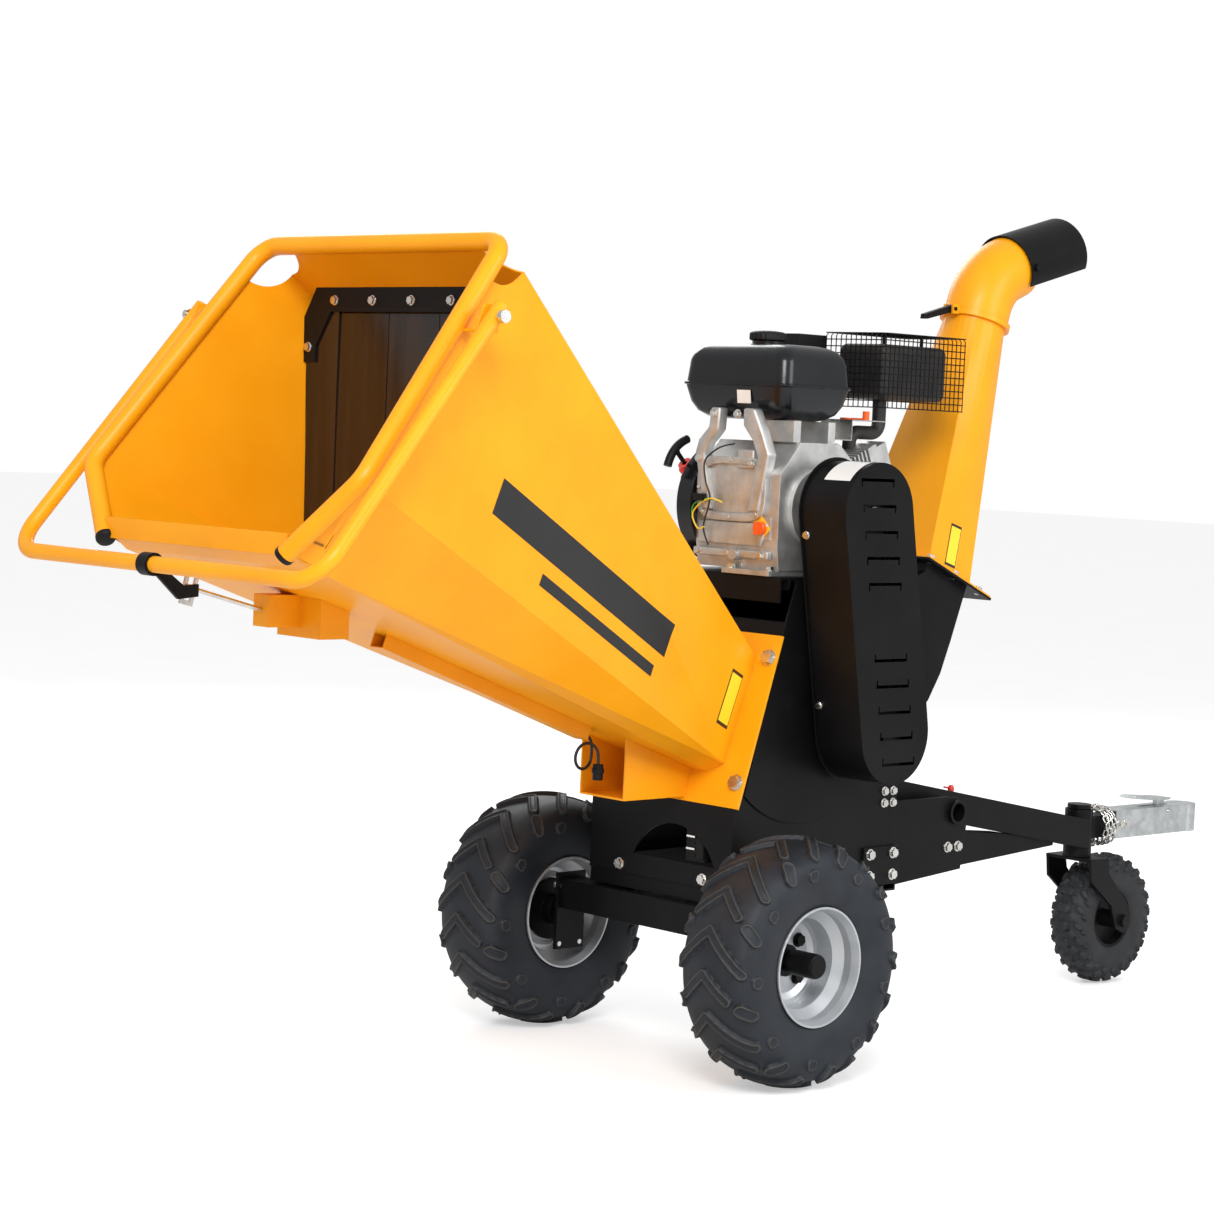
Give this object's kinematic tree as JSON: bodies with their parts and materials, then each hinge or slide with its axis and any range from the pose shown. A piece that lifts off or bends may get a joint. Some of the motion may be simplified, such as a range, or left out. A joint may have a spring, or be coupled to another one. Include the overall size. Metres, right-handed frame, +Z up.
{
  "type": "wood chipper",
  "caption": "Towable wood chipper: wide feed hopper with control bar, belt-driven drum, small engine, swivelling discharge chute, road wheels, caster and ball coupler.",
  "frame": {"origin": "on the floor, below the middle of the machine in length and width", "axes": "+X towards the towing coupler, -X the feed mouth, -Y the belt guard side, +Y the recoil starter side, +Z up"},
  "size_m": [3.018, 0.8936, 1.7317],
  "materials": {
    "orange_paint": "satin powder coat",
    "black_paint": "satin powder coat",
    "black_plastic": "textured",
    "tank_black": "gloss enamel",
    "tyre_rubber": "moulded tread",
    "caster_rubber": "moulded tread",
    "curtain_rubber": "glossy sheet",
    "belt_rubber": "matt",
    "cable_rubber": "satin",
    "rim_silver": "silver enamel",
    "zinc": "zinc plated",
    "galvanised": "bright galvanised",
    "chain_steel": "zinc plated",
    "engine_alloy": "die cast",
    "steel_dark": "machined",
    "steel_bare": "ground",
    "switch_red": "gloss",
    "yellow_black": "gloss"
  },
  "bodies": {
    "chassis": {"chassis_frame": "black_paint", "stub_axles": "black_paint", "front_panel": "black_paint", "relay_box": "black_plastic", "drum_housing": "black_paint", "discharge_duct": "black_paint", "shaft_bearings": "steel_dark", "anvil": "steel_bare", "drive_belts": "belt_rubber", "guard_cover": "black_paint", "guard_backplate": "black_paint", "engine_platform": "black_paint", "crankcase": "engine_alloy", "cylinder_block": "engine_alloy", "fan_shroud": "tank_black", "recoil_cover": "tank_black", "fuel_tank": "tank_black", "muffler": "steel_dark", "muffler_cage": "black_paint", "air_cleaner": "black_plastic", "carburettor": "engine_alloy", "speed_control_plate": "zinc", "mouth_tube": "orange_paint", "hopper_shell": "orange_paint", "hopper_brackets": "orange_paint", "curtain_clamp": "black_paint", "curtain_sides": "curtain_rubber", "stop_switch": "orange_paint", "chute": "orange_paint", "drawbar": "black_paint", "coupler": "galvanised", "safety_chain": "chain_steel", "fasteners": "zinc", "switch_cable": "cable_rubber", "cable_plug": "black_plastic"},
    "wheel_left": {"tyre_left": "tyre_rubber", "rim_left": "rim_silver", "hub_left": "black_paint"},
    "wheel_right": {"tyre_right": "tyre_rubber", "rim_right": "rim_silver", "hub_right": "black_paint"},
    "caster": {"caster_fork": "black_paint"},
    "caster_wheel": {"caster_tyre": "caster_rubber", "caster_rim": "black_paint"},
    "crank": {"crankshaft": "steel_bare", "engine_pulley": "steel_dark"},
    "drum": {"drum_shaft": "steel_dark", "cutting_drum": "steel_dark", "drum_knives": "steel_bare"},
    "stop_bar": {"control_bar": "orange_paint"},
    "stop_rod": {"stop_rod": "zinc"},
    "curtain": {"curtain_flaps": "curtain_rubber"},
    "elbow": {"chute_elbow": "orange_paint"},
    "deflector": {"chute_deflector": "black_paint"},
    "elbow_lock": {"chute_lock_lever": "black_paint"},
    "latch": {"coupler_latch": "galvanised"},
    "starter_grip": {"recoil_handle": "black_plastic"},
    "tank_cap": {"fuel_cap": "tank_black"},
    "engine_switch": {"switch_knob": "yellow_black"},
    "throttle": {"throttle_lever": "yellow_black"}
  },
  "joints": [
    {"name": "wheel_left_spin", "type": "hinge", "parent": "chassis", "child": "wheel_left", "pos_m": [-0.256, 0.345, 0.2375], "axis": [0, 1, 0], "continuous": true},
    {"name": "wheel_right_spin", "type": "hinge", "parent": "chassis", "child": "wheel_right", "pos_m": [-0.256, -0.345, 0.2375], "axis": [0, 1, 0], "continuous": true},
    {"name": "caster_swivel", "type": "hinge", "parent": "chassis", "child": "caster", "pos_m": [1.079, 0, 0.35], "axis": [0, 0, 1], "continuous": true},
    {"name": "caster_spin", "type": "hinge", "parent": "caster", "child": "caster_wheel", "pos_m": [1.182, 0, 0.15], "axis": [0, 1, 0], "continuous": true},
    {"name": "drum_spin", "type": "hinge", "parent": "chassis", "child": "drum", "pos_m": [0.022, 0, 0.655], "axis": [0, 1, 0], "continuous": true},
    {"name": "crank_spin", "type": "hinge", "parent": "chassis", "child": "crank", "pos_m": [-0.057, 0, 1.085], "axis": [0, 1, 0], "continuous": true},
    {"name": "stop_bar_tilt", "type": "hinge", "parent": "chassis", "child": "stop_bar", "pos_m": [-1.129, 0, 1.399], "axis": [0, 1, 0], "range_deg": [-5, 5]},
    {"name": "stop_rod_slide", "type": "slide", "parent": "chassis", "child": "stop_rod", "axis": [0.969, 0, -0.247], "range_m": [-0.048, 0.048]},
    {"name": "curtain_swing", "type": "hinge", "parent": "chassis", "child": "curtain", "pos_m": [-0.953, 0, 1.413], "axis": [0, 1, 0], "range_deg": [-30, 0]},
    {"name": "chute_swivel", "type": "hinge", "parent": "chassis", "child": "elbow", "pos_m": [0.61, 0, 1.478], "axis": [0.2917, 0, 0.9565], "continuous": true},
    {"name": "deflector_tilt", "type": "hinge", "parent": "elbow", "child": "deflector", "pos_m": [0.72, 0, 1.612], "axis": [0, 1, 0], "range_deg": [-9, 20]},
    {"name": "elbow_lock_turn", "type": "hinge", "parent": "elbow", "child": "elbow_lock", "pos_m": [0.529, 0, 1.512], "axis": [0, 1, 0], "range_deg": [0, 70]},
    {"name": "coupler_latch_lift", "type": "hinge", "parent": "chassis", "child": "latch", "pos_m": [1.384, 0, 0.388], "axis": [0, 1, 0], "range_deg": [0, 32]},
    {"name": "starter_pull", "type": "slide", "parent": "chassis", "child": "starter_grip", "axis": [-0.7219, 0, 0.6919], "range_m": [0, 0.04], "stiffness_N_per_m": 200, "springref_m": -0.03},
    {"name": "fuel_cap_turn", "type": "hinge", "parent": "chassis", "child": "tank_cap", "pos_m": [-0.064, -0.03, 1.42], "axis": [0, 0, 1], "range_deg": [0, 90]},
    {"name": "engine_switch_turn", "type": "hinge", "parent": "chassis", "child": "engine_switch", "pos_m": [-0.171, -0.134, 1.044], "axis": [1, 0, 0], "range_deg": [0, 60]},
    {"name": "throttle_turn", "type": "hinge", "parent": "chassis", "child": "throttle", "pos_m": [0.116, -0.092, 1.266], "axis": [0, 0, 1], "range_deg": [-25, 25]}
  ],
  "couplings": [
    {"joint": "crank_spin", "follows": "drum_spin", "ratio": 1.3333},
    {"joint": "stop_rod_slide", "follows": "stop_bar_tilt", "m_per_rad": -0.529}
  ]
}
